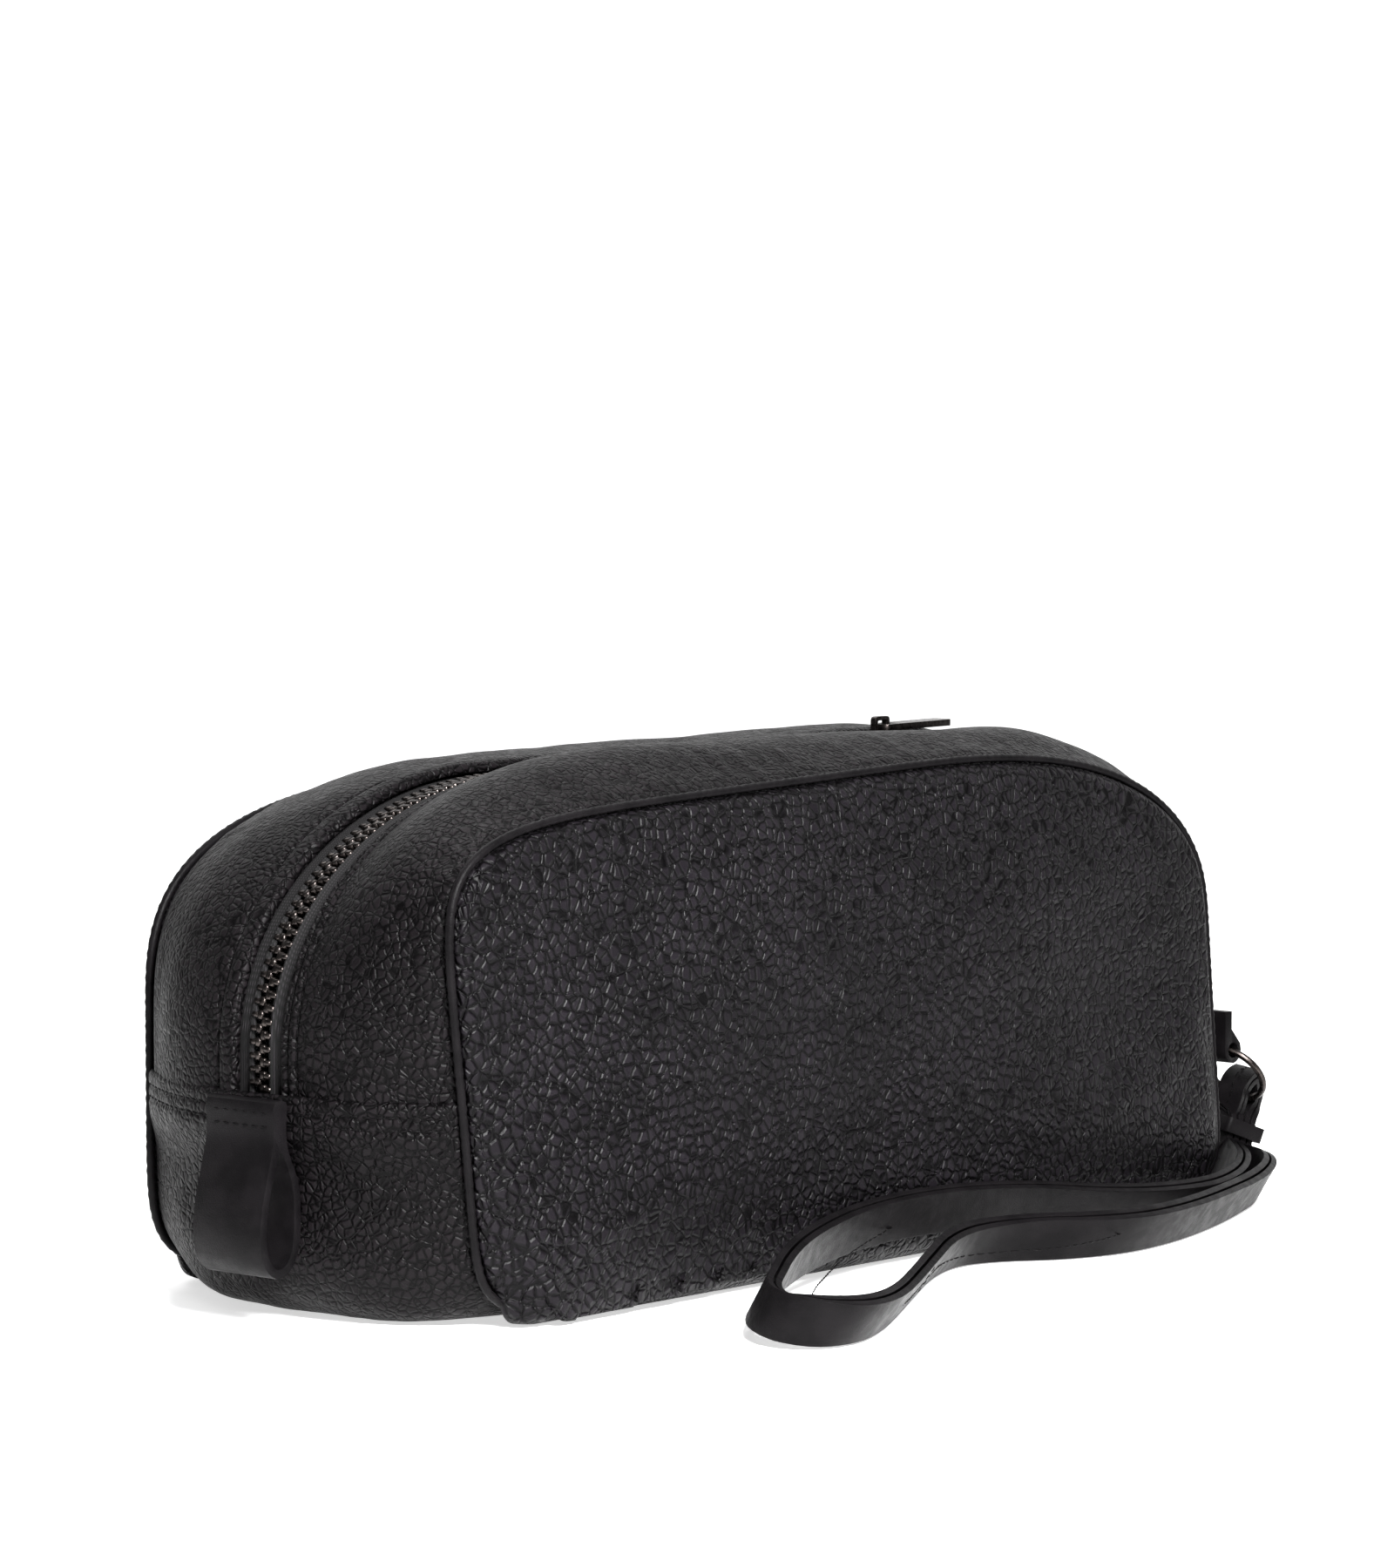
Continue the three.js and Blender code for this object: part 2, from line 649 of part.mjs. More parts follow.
function strapStations() {
  const fold = strapFold();
  const { collar, rise } = fold;
  const near = new THREE.Vector3(-0.3, -0.93, 0);
  near.addScaledVector(rise, -near.dot(rise)).normalize();
  const across = new THREE.Vector3().crossVectors(rise, near).normalize();
  const half = STRAP_PLY + STRAP_GAP / 2 + 0.32;
  const atCollar = (side, lift) => collar.clone()
    .addScaledVector(across, side * half).addScaledVector(rise, lift);
  const atFold = (side, lift) => fold.at.clone()
    .addScaledVector(fold.stack, side).addScaledVector(fold.up, lift);
  const atBend = (side, degrees) => {
    const a = THREE.MathUtils.degToRad(degrees);
    const at = atCollar(side, -2.2 - STRAP_BEND * Math.sin(a));
    at.addScaledVector(near, STRAP_BEND * (1 - Math.cos(a)));
    const wide = near.clone().multiplyScalar(Math.cos(a)).addScaledVector(rise, Math.sin(a));
    return station(at, wide, STRAP_WIDTH);
  };
  const list = [
    station(atCollar(-1, 0.4), near, STRAP_WIDTH),
    station(atCollar(-1, 2.5), near, STRAP_WIDTH - 1),
    station(atCollar(-1.1, 3.7), near, STRAP_WIDTH - 2.6),
    station(atFold(-4.3, -0.8), fold.wide, STRAP_WIDTH_AT_RING),
    station(atFold(-4.1, 2.8), fold.wide, STRAP_WIDTH_AT_RING),
    station(atFold(-0.3, 5.9), fold.wide, STRAP_WIDTH_AT_RING),
    station(atFold(3.4, 2.8), fold.wide, STRAP_WIDTH_AT_RING),
    station(atFold(3.6, -0.6), fold.wide, STRAP_WIDTH_AT_RING),
    station(atCollar(1.1, 3.7), near, STRAP_WIDTH - 2.6),
    station(atCollar(1, 2.5), near, STRAP_WIDTH - 1),
    station(atCollar(1, 0), near, STRAP_WIDTH),
    station(atCollar(1, -2.2), near, STRAP_WIDTH),
    atBend(1, 45),
    atBend(1, 90),
  ];
  const lay = (x, y, z, degrees, sideways) => {
    list.push(station(new THREE.Vector3(x, y, z), leaning(degrees, sideways), STRAP_WIDTH));
  };
  lay(147.4, -57, 7.0, 26, 0.3);
  lay(138.5, -64.5, 6.5, 30, 0.2);
  lay(122, -72.3, 6.0, 40, -0.3);
  lay(98, -81, 5.85, 34, 0);
  lay(72, -88, 5.8, 33, 0.1);
  lay(51, -89.5, 5.8, 33, 0.2);
  lay(36, -84.5, 5.8, 33, 0.3);
  lay(24, -76, 5.8, 33, 0.3);
  lay(11, -72.3, 5.8, 33, 0.2);
  lay(-7, -78, 5.8, 33, 0.2);
  lay(-29, -90.5, 5.8, 33, 0.3);
  lay(-54, -105.5, 5.8, 33, 0.35);
  lay(-76, -118, 5.8, 34, 0.35);
  lay(-91, -123.5, 5.9, 34, 0.35);
  lay(-101.5, -120.5, 6.2, 32, 0.35);
  lay(-105, -111.5, 6.7, 30, 0.35);
  lay(-98, -100.5, 7.3, 28, 0.35);
  lay(-84, -90.5, 7.9, 27, 0.3);
  lay(-69, -80.5, 8.5, 26, 0.3);
  lay(-55, -73, 9.4, 25, 0.2);
  lay(-40, -67.3, 10.5, 24, 0.1);
  lay(-22, -64, 12.2, 23, 0);
  lay(0, -63, 13.0, 22, 0);
  lay(24, -63, 12.2, 22, 0);
  lay(48, -64.2, 10.0, 23, 0);
  lay(68, -67, 7.5, 26, 0);
  lay(88, -70, 6.0, 28, 0);
  lay(107, -71, 6.0, 31, -0.1);
  lay(124, -65.6, 6.6, 30, 0);
  lay(137.5, -58.2, 7.4, 22, 0);
  list.push(atBend(-1, 90), atBend(-1, 45));
  list.push(station(atCollar(-1, -2.2), near, STRAP_WIDTH));
  list.push(station(atCollar(-1, -0.4), near, STRAP_WIDTH));
  return { list, collar, rise, near, across, half };
}

function strapFrames(list) {
  const curve = new THREE.CatmullRomCurve3(list.map((s) => s.at), false, 'centripetal');
  const spans = list.length - 1;
  const frames = [];
  const frameAt = (k, t) => {
    const place = (k + t) / spans;
    const ease = smooth(t);
    const wide = list[k].wide.clone().lerp(list[k + 1].wide, ease);
    const along = curve.getTangent(place);
    const across = new THREE.Vector3().crossVectors(along, wide).normalize();
    const up = new THREE.Vector3().crossVectors(across, along).normalize();
    up.multiplyScalar(mix(list[k].width, list[k + 1].width, ease) / 2);
    frames.push({ at: curve.getPoint(place), across, up });
  };
  for (let k = 0; k < spans; k += 1) {
    const far = list[k].at.distanceTo(list[k + 1].at);
    const twist = list[k].wide.angleTo(list[k + 1].wide);
    const steps = Math.max(2, Math.ceil(far / 9), Math.ceil(twist / 0.22));
    for (let i = 0; i < steps; i += 1) {
      frameAt(k, i / steps);
    }
  }
  frameAt(spans - 1, 1);
  return frames;
}

function makeStrap() {
  const { list, collar, rise, near, across, half } = strapStations();
  const frames = strapFrames(list);
  const low = STRAP_GAP / 2;
  const high = low + STRAP_PLY;
  const ply = (a, b) => [[a, -1], [b, -1], [b, 1], [a, 1]];
  add('wrist_strap_outer', sweep(frames, ply(-high, -low), false), LEATHER_SMOOTH);
  add('wrist_strap_inner', sweep(frames, ply(high, low), false), LEATHER_SMOOTH);
  const x = half + high + 0.7;
  const y = STRAP_WIDTH / 2 + 0.5;
  const wall = COLLAR_WALL;
  const shape = roundedRectangle(new THREE.Shape(), -x - wall, x + wall, -y - wall, y + wall, 1.4);
  shape.holes.push(roundedRectangle(new THREE.Path(), -x, x, -y, y, 0.3));
  add('strap_collar', extruded(shape, COLLAR_HEIGHT, collar, across, near), LEATHER_SMOOTH);
}

makePanels();
makeStrips();
makeWelts();
makeZip();
makeSlider();
makeStops();
makeEndTab();
makeKeeper();
makeRing();
makeStrap();

export default group;
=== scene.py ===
"""Leather makeup bag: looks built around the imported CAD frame. Lengths are millimetres times MM."""

import math

import bmesh
import bpy
import numpy as np
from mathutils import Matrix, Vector


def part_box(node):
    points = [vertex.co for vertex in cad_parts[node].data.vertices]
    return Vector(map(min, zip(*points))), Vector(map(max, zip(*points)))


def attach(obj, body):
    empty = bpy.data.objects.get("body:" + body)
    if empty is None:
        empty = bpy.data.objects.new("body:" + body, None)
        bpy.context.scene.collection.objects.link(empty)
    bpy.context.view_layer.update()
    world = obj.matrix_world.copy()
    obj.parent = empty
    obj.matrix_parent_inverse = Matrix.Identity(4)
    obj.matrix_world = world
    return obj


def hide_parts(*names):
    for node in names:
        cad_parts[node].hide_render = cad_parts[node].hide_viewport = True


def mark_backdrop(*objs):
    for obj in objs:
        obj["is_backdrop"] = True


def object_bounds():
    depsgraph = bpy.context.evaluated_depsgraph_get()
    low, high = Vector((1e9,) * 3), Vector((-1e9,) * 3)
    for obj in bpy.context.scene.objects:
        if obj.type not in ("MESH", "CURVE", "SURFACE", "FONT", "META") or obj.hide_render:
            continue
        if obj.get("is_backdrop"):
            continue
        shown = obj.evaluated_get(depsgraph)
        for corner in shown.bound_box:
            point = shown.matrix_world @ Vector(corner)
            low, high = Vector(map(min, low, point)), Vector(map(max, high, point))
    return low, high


MM = 0.001

# Camera: one long lens looking a little down on the bag's left front corner.
CAMERA_AZIMUTH = math.radians(-49.19)
CAMERA_ELEVATION = math.radians(4.61)
CAMERA_TARGET = Vector((-0.0019, 0.0016, 0.1112))
CAMERA_DISTANCE = 1.5519
CAMERA_LENS = 166.6

# Seam outlines of the two side faces (mm and shape exponents).
SEAM_FRONT = {
    "half": 137.8, "height": 56.7, "middle": 59.1, "shift": -2.06,
    "left": 6.5, "right": 3.0, "base": 11.4, "lean": 0.114, "rise": 0.028,
}
SEAM_BACK = {
    "half": 139.0, "height": 56.0, "middle": 58.5, "shift": 0.0,
    "left": 3.4, "right": 3.3, "base": 8.0, "lean": 0.0, "rise": 0.0,
}
SEAM_Y = 49.0
FOOT_ROLL = 5.0
FOOT_LIFT = 0.35     # height of the panel's lower edge where it rests on the floor
FOOT_START = 2.0     # how far out from the seam the lower edge begins to roll
SEAM_ROLL = 2.4      # how far a panel stands out where it turns over at a seam
SEAM_BEND = 3.2      # width of that turn
FLAT_RUN = (0.8, 0.19)       # where the outline is level enough to lie on the floor
BELLY_TOP = 60       # height up to which the lower panel bellies out
BODY_HALF = 152.3
LEATHER = 1.9

# Zip line over the top, and the leather beside it.
ZIP_TOP = 117.0
ZIP_CORNER_X = 77.0
ZIP_CORNER_Z = 57.0
NEAR_EDGE = 6.8
FAR_EDGE = 5.7
FLAT_HALF = 13.4
LIP = 2.55
LIP_NEAR = 1.7
TOOTH_PITCH = 3.0
TOOTH_HEIGHT = 2.4

# Puff of the soft faces.
PANEL_PUFF = 7.5
TOP_PUFF_LEFT = 6.5
TOP_PUFF_RIGHT = 3.5
TOP_PUFF_BACK = 1.6

# Lap seam at the two ends.
LAP_TOP = 51.8
LAP_BOTTOM = 44.4
LAP_STEP = 2.25
LAP_FADE = 12.0
LAP_STITCH_ROWS = (3.6, 6.6)
BASE_CORNER = 15.0

# Stitches.
STITCH_PITCH = 2.8
STITCH_LENGTH = 2.0
STITCH_RADIUS = 0.24

# Studio light.
FLOOR_GLOW = 0.62
FLOOR_DIM = 0.12
WORLD_LIGHT = 0.16
KEY_POWER = 6.0
TOP_POWER = 6.0

rng = np.random.default_rng(11)


# ---------------------------------------------------------------- small maths

def clamp01(value):
    return np.clip(value, 0.0, 1.0)


def smooth(value):
    t = clamp01(value)
    return t * t * (3 - 2 * t)


def mix(a, b, t):
    return a + (b - a) * t


def bell(value, middle, width):
    return np.exp(-(((value - middle) / width) ** 2))


def waves(x, z, seed, scale, octaves=3):
    """Smooth unrepeating ripples between about -1 and 1, made of seeded sine waves."""
    source = np.random.default_rng(seed)
    total = 0.0
    for octave in range(octaves):
        for _ in range(5):
            angle = source.uniform(0, 2 * math.pi)
            length = scale / (1.8 ** octave) * source.uniform(0.7, 1.4)
            phase = source.uniform(0, 2 * math.pi)
            step = (x * math.cos(angle) + z * math.sin(angle)) / length
            total = total + np.sin(2 * math.pi * step + phase) / (1.9 ** octave)
    return total / 5.0


# ---------------------------------------------------------------- shape of the bag

def outline_point(seam, angle):
    c = np.cos(angle)
    s = np.sin(angle)
    upper = 0.5 * (1 + np.tanh(4 * s))
    corner = mix(seam["left"], seam["right"], 0.5 * (1 + np.tanh(3 * c)))
    n = mix(seam["base"], corner, upper)
    r = (np.abs(c) ** n + np.abs(s) ** n) ** (-1 / n)
    x = seam["half"] * c * r
    z = seam["height"] * s * r
    out_x = seam["shift"] + x - seam["lean"] * z
    out_z = seam["middle"] + z + seam["rise"] * upper * x
    return out_x, out_z


def outline(seam, angle, out=0.0):
    """The seam at a direction, moved out by some distance: x, z and the outward normal."""
    x, z = outline_point(seam, angle)
    x0, z0 = outline_point(seam, angle - 0.001)
    x1, z1 = outline_point(seam, angle + 0.001)
    length = np.hypot(x1 - x0, z1 - z0)
    nx = (z1 - z0) / length
    nz = (x0 - x1) / length
    return x + nx * out, z + nz * out, nx, nz


def evenly(x, z, nx, nz):
    """A path function of place from -1 to 1 at even steps of length."""
    steps = np.hypot(np.diff(x), np.diff(z))
    length = np.concatenate([[0.0], np.cumsum(steps)])

    def at(place):
        want = clamp01((np.asarray(place, float) + 1) / 2) * length[-1]
        values = [np.interp(want, length, v) for v in (x, z, nx, nz)]
        size = np.hypot(values[2], values[3])
        return values[0], values[1], values[2] / size, values[3] / size

    at.length = length[-1]
    return at


def seam_path(seam, way, height):
    angle = way * (math.pi / 2 + np.linspace(0.8, -0.8, 1601) * math.pi)
    x, z, nx, nz = outline(seam, angle)
    keep = (z - height) * way >= 0
    return evenly(x[keep], z[keep], nx[keep], nz[keep])


def middle_path(way, height, level, corner_x, corner_z):
    turn = np.linspace(0, math.pi / 2, 61)
    x = [np.array([-BODY_HALF])]
    z = [np.array([height])]
    nx = [np.array([-1.0])]
    nz = [np.array([0.0])]
    for side, angle in ((-1, turn[::-1]), (1, turn)):
        s, c = np.sin(angle), np.cos(angle)
        px, pz = side * s / corner_x, way * c / corner_z
        size = np.hypot(px, pz)
        x.append(side * (BODY_HALF - corner_x + corner_x * s))
        z.append(level - way * corner_z * (1 - c))
        nx.append(px / size)
        nz.append(pz / size)
    x.append(np.array([BODY_HALF]))
    z.append(np.array([height]))
    nx.append(np.array([1.0]))
    nz.append(np.array([0.0]))
    return evenly(*(np.concatenate(v) for v in (x, z, nx, nz)))


TOP_SEAMS = {-1: seam_path(SEAM_FRONT, 1, LAP_BOTTOM), 1: seam_path(SEAM_BACK, 1, LAP_BOTTOM)}
BASE_SEAMS = {-1: seam_path(SEAM_FRONT, -1, LAP_TOP), 1: seam_path(SEAM_BACK, -1, LAP_TOP)}
ZIP_LINE = middle_path(1, LAP_BOTTOM, ZIP_TOP, ZIP_CORNER_X, ZIP_CORNER_Z)
BASE_LINE = middle_path(-1, LAP_TOP, 0.3, BASE_CORNER, BASE_CORNER)


def crown(y, rim, power):
    return 1 - clamp01((np.abs(y) - FLAT_HALF) / (rim - FLAT_HALF)) ** power


def top_puff(place, side):
    x = TOP_SEAMS[side](place)[0]
    front = mix(TOP_PUFF_LEFT, TOP_PUFF_RIGHT, smooth((x + 40) / 130))
    lift = front if side < 0 else TOP_PUFF_BACK
    return lift * smooth((1 - np.abs(place)) / 0.42)


def edge_profile(e, side):
    """Height of the leather at a distance e from its folded zip edge."""
    round_edge = -0.9 * (1 - clamp01(e / 1.1)) ** 2
    if side < 0:
        ridge = 0.4 * bell(e, 3.9, 0.9) + 0.3 * bell(e, 1.3, 0.6)
        grooves = -0.6 * bell(e, 2.5, 0.45) - 0.5 * bell(e, 5.3, 0.55)
        return round_edge + ridge + grooves
    roll = 0.9 * clamp01(1 - ((e - 2.6) / 2.6) ** 2) ** 0.5
    return round_edge * 1.3 + roll - 0.55 * bell(e, 5.6, 0.5)


def top_strip(place, t, side, depth=0.0, slot=None):
    """A point of a top strip: place end to end, t from the seam (0) to the zip edge (1)."""
    rim = SEAM_Y - 1.0
    slot = slot or (NEAR_EDGE if side < 0 else FAR_EDGE)
    seam_x, seam_z, seam_nx, seam_nz = TOP_SEAMS[side](place)
    zip_x, zip_z, zip_nx, zip_nz = ZIP_LINE(place)
    y = mix(rim, slot, t)
    rise = crown(y, rim, 2)
    nx = mix(seam_nx, zip_nx, rise)
    nz = mix(seam_nz, zip_nz, rise)
    size = np.hypot(nx, nz)
    lip = LIP_NEAR if side < 0 else LIP
    puff = top_puff(place, side) * (4 * t * (1 - t)) ** (1.5 if side < 0 else 1.0)
    fold = -1.5 * (1 - clamp01(t / 0.055)) ** 2 + 0.5 * bell(t, 0.1, 0.07)
    out = lip * rise + puff + fold + edge_profile(y - slot, side) - depth
    x = mix(seam_x, zip_x, rise) + nx / size * out
    z = mix(seam_z, zip_z, rise) + nz / size * out
    return x, side * y, z, nx / size, nz / size


def soft_creases(x, y, side):
    """Slack of the top leather: long shallow waves and puckers that start at the seam."""
    seam_side = smooth((np.abs(y) - 24) / 20)
    long_waves = waves(x, y * 1.5, 5 + side, 62) * 0.55
    puckers = waves(x * 1.7, y * 0.3, 9 + side, 15, 2) * 0.28 * seam_side
    return long_waves + puckers


def base_strip(place, t):
    """A point of the base strip: place end to end, t from front (-1) to back (1)."""
    rim = SEAM_Y - 1.0
    front = BASE_SEAMS[-1](place)
    back = BASE_SEAMS[1](place)
    seam = [np.where(t < 0, a, b) for a, b in zip(front, back)]
    mid = BASE_LINE(place)
    y = rim * np.abs(t)
    flatness = smooth((1 - np.abs(place) - 0.22) / 0.2)
    rise = 1 - clamp01(y / rim) ** mix(2.2, 8, flatness)
    nx = mix(seam[2], mid[2], rise)
    nz = mix(seam[3], mid[3], rise)
    size = np.hypot(nx, nz)
    down = LAP_TOP - mix(seam[1], mid[1], rise)
    lap = (LAP_STEP + LIP * rise) * (1 - smooth((down - (LAP_TOP - LAP_BOTTOM)) / LAP_FADE))
    fold = -1.5 * (1 - clamp01((1 - np.abs(t)) / 0.03)) ** 2
    lap_edge = -1.1 * (1 - clamp01(down / 1.3)) ** 2
    rows = sum(-0.4 * bell(down, row, 0.5) for row in LAP_STITCH_ROWS)
    out = lap + fold + lap_edge + rows
    x = mix(seam[0], mid[0], rise) + nx / size * out
    z = mix(seam[1], mid[1], rise) + nz / size * out
    return x, np.sign(t) * y, np.maximum(z, 0.25), nx / size, nz / size


def panel_point(u, v, side):
    """A point of a side face: u and v run from -1 to 1 across it."""
    seam = SEAM_FRONT if side < 0 else SEAM_BACK
    size = np.maximum(np.abs(u), np.abs(v))
    angle = np.arctan2(v, np.where(size < 1e-9, 1.0, u))
    edge_x, edge_z, _, nz = outline(seam, angle, -0.6)
    x = mix(seam["shift"], edge_x, size)
    z = mix(seam["middle"], edge_z, size)
    inside = (1 - size) * np.hypot(edge_x - seam["shift"], edge_z - seam["middle"])
    low = smooth((-nz - FLAT_RUN[0]) / FLAT_RUN[1]) * (1 - smooth((inside - 30) / 22))
    near_edge = low * (1 - smooth((inside - 8) / 12))
    belly = (FOOT_ROLL - 0.4) * smooth((BELLY_TOP - z) / 55) * smooth(inside / 12)
    bend = np.sqrt(1 - (1 - clamp01(inside / SEAM_BEND)) ** 2)
    turn = np.minimum(inside / FOOT_ROLL, math.pi / 2)
    rolled_y = FOOT_START + FOOT_ROLL * np.sin(turn)
    rolled_z = FOOT_LIFT + FOOT_ROLL * (1 - np.cos(turn))
    roll = mix(SEAM_ROLL * bend + belly, rolled_y * smooth(inside / 0.8), near_edge)
    past = clamp01((inside - FOOT_ROLL * math.pi / 2) / 50)
    sink = edge_z + FOOT_ROLL * math.pi / 2 - FOOT_LIFT - FOOT_ROLL
    z_low = np.where(turn < math.pi / 2, rolled_z, z - sink * (1 - smooth(past)))
    z = mix(z, z_low, low)
    swell = (PANEL_PUFF - 0.5) * (1 - size ** 3.0) * (1 - 0.25 * low)
    slack = waves(x, z * 1.3, 21 + side, 85) * 0.8 * smooth(inside / 24)
    slack = slack + waves(x * 0.7, z * 1.8, 31 + side, 30, 2) * 0.22 * smooth(inside / 14)
    dent = -1.6 * bell(x, -105, 26) * bell(z, 84, 15) + 1.2 * bell(x, -70, 35) * bell(z, 55, 20)
    dent = dent - 1.3 * bell(x, 96, 24) * bell(z, 62, 24)
    depth = SEAM_Y + roll + swell + slack + dent * smooth(inside / 20)
    return x, side * depth, np.maximum(z, 0.3)


# ---------------------------------------------------------------- building pieces

def make_object(name, vertices, faces, material, body, replaces=()):
    mesh = bpy.data.meshes.new(name)
    mesh.from_pydata([tuple(v) for v in vertices], [], [tuple(f) for f in faces])
    mesh.validate()
    mesh.polygons.foreach_set("use_smooth", [True] * len(mesh.polygons))
    mesh.materials.append(material)
    obj = bpy.data.objects.new(name, mesh)
    bpy.context.scene.collection.objects.link(obj)
    finish_piece(obj, body, replaces)
    return obj


def finish_piece(obj, body, replaces):
    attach(obj, body)
    if replaces:
        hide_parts(*replaces)


def grid_faces(columns, rows):
    i, j = np.meshgrid(np.arange(columns), np.arange(rows), indexing="ij")
    a = (i * (rows + 1) + j).ravel()
    return np.stack([a, a + rows + 1, a + rows + 2, a + 1], axis=1)


def shell(name, x, y, z, thickness, material, body, replaces, flip=False):
    """A leather sheet on a grid of points (mm), thickened inwards."""
    columns, rows = x.shape[0] - 1, x.shape[1] - 1
    vertices = np.stack([x.ravel(), y.ravel(), z.ravel()], axis=1) * MM
    faces = grid_faces(columns, rows)
    if flip:
        faces = faces[:, ::-1]
    obj = make_object(name, vertices, faces, material, body, replaces)
    thick = obj.modifiers.new("thickness", "SOLIDIFY")
    thick.thickness = thickness * MM
    thick.offset = -1.0
    thick.use_even_offset = False
    return obj


def gathered(count, power=0.5):
    """Grid values from -1 to 1, closer together near the two ends."""
    t = np.linspace(-1, 1, count)
    return mix(t, np.sin(t * math.pi / 2), power)


def rounded_copy(node, name, bevel, material, body, segments=3, levels=0):
    """A finer copy of a CAD node, with its hard edges rounded."""
    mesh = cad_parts[node].data.copy()
    obj = bpy.data.objects.new(name, mesh)
    bpy.context.scene.collection.objects.link(obj)
    bm = bmesh.new()
    bm.from_mesh(mesh)
    bmesh.ops.remove_doubles(bm, verts=bm.verts, dist=0.005 * MM)
    bmesh.ops.recalc_face_normals(bm, faces=bm.faces)
    bm.to_mesh(mesh)
    bm.free()
    mesh.materials.clear()
    mesh.materials.append(material)
    mesh.polygons.foreach_set("use_smooth", [True] * len(mesh.polygons))
    round_off = obj.modifiers.new("rounding", "BEVEL")
    round_off.width = bevel * MM
    round_off.segments = segments
    round_off.limit_method = "ANGLE"
    round_off.angle_limit = math.radians(42)
    round_off.harden_normals = levels == 0
    if levels:
        finer = obj.modifiers.new("finer", "SUBSURF")
        finer.levels = levels
        finer.render_levels = levels
    finish_piece(obj, body, (node,))
    return obj


def capsule(length, radius, sides=7):
    """One stitch: a small thread bead along X, sunk at both ends."""
    rings = [(-0.5, 0.25, -0.7), (-0.38, 0.8, -0.25), (0.0, 1.0, 0.15), (0.38, 0.8, -0.25),
             (0.5, 0.25, -0.7)]
    points = []
    for place, size, lift in rings:
        for k in range(sides):
            a = 2 * math.pi * k / sides
            points.append((place * length, math.cos(a) * radius * size * 1.15,
                           math.sin(a) * radius * size + lift * radius))
    faces = []
    for i in range(len(rings) - 1):
        for k in range(sides):
            m = (k + 1) % sides
            faces.append((i * sides + k, (i + 1) * sides + k, (i + 1) * sides + m, i * sides + m))
    faces = [f for f in faces]
    faces.append(tuple(range(sides - 1, -1, -1)))
    faces.append(tuple(range((len(rings) - 1) * sides, len(rings) * sides)))
    return np.array(points), faces


def stitch_row(points, normals, pitch=STITCH_PITCH, length=STITCH_LENGTH, radius=STITCH_RADIUS):
    """Stitches at even steps along a line of points (mm), as (vertices, faces)."""
    points = np.asarray(points, float)
    normals = np.asarray(normals, float)
    steps = np.linalg.norm(np.diff(points, axis=0), axis=1)
    far = np.concatenate([[0.0], np.cumsum(steps)])
    count = max(1, int(far[-1] / pitch))
    template, faces = capsule(length, radius)
    all_vertices, all_faces = [], []
    places = (np.arange(count) + 0.5) * far[-1] / count
    for place in places:
        at = np.array([np.interp(place, far, points[:, k]) for k in range(3)])
        ahead = np.array([np.interp(place + 0.4, far, points[:, k]) for k in range(3)])
        behind = np.array([np.interp(place - 0.4, far, points[:, k]) for k in range(3)])
        up = np.array([np.interp(place, far, normals[:, k]) for k in range(3)])
        along = (ahead - behind) / np.linalg.norm(ahead - behind)
        side = np.cross(up, along)
        side = side / np.linalg.norm(side)
        up = np.cross(along, side)
        turn = rng.normal(0, 0.05)
        along2 = along * math.cos(turn) + side * math.sin(turn)
        side2 = side * math.cos(turn) - along * math.sin(turn)
        start = sum(len(v) for v in all_vertices)
        all_vertices.append(at + template @ np.stack([along2, side2, up]))
        all_faces.extend([tuple(i + start for i in f) for f in faces])
    return np.concatenate(all_vertices), all_faces


def stitches(name, rows, material, body, slot, **sizes):
    vertices, faces = [], []
    start = 0
    for points, normals in rows:
        v, f = stitch_row(points, normals, **sizes)
        vertices.append(v)
        faces.extend([tuple(i + start for i in face) for face in f])
        start += len(v)
    return make_object(name, np.concatenate(vertices) * MM, faces, material, body)


# ---------------------------------------------------------------- materials

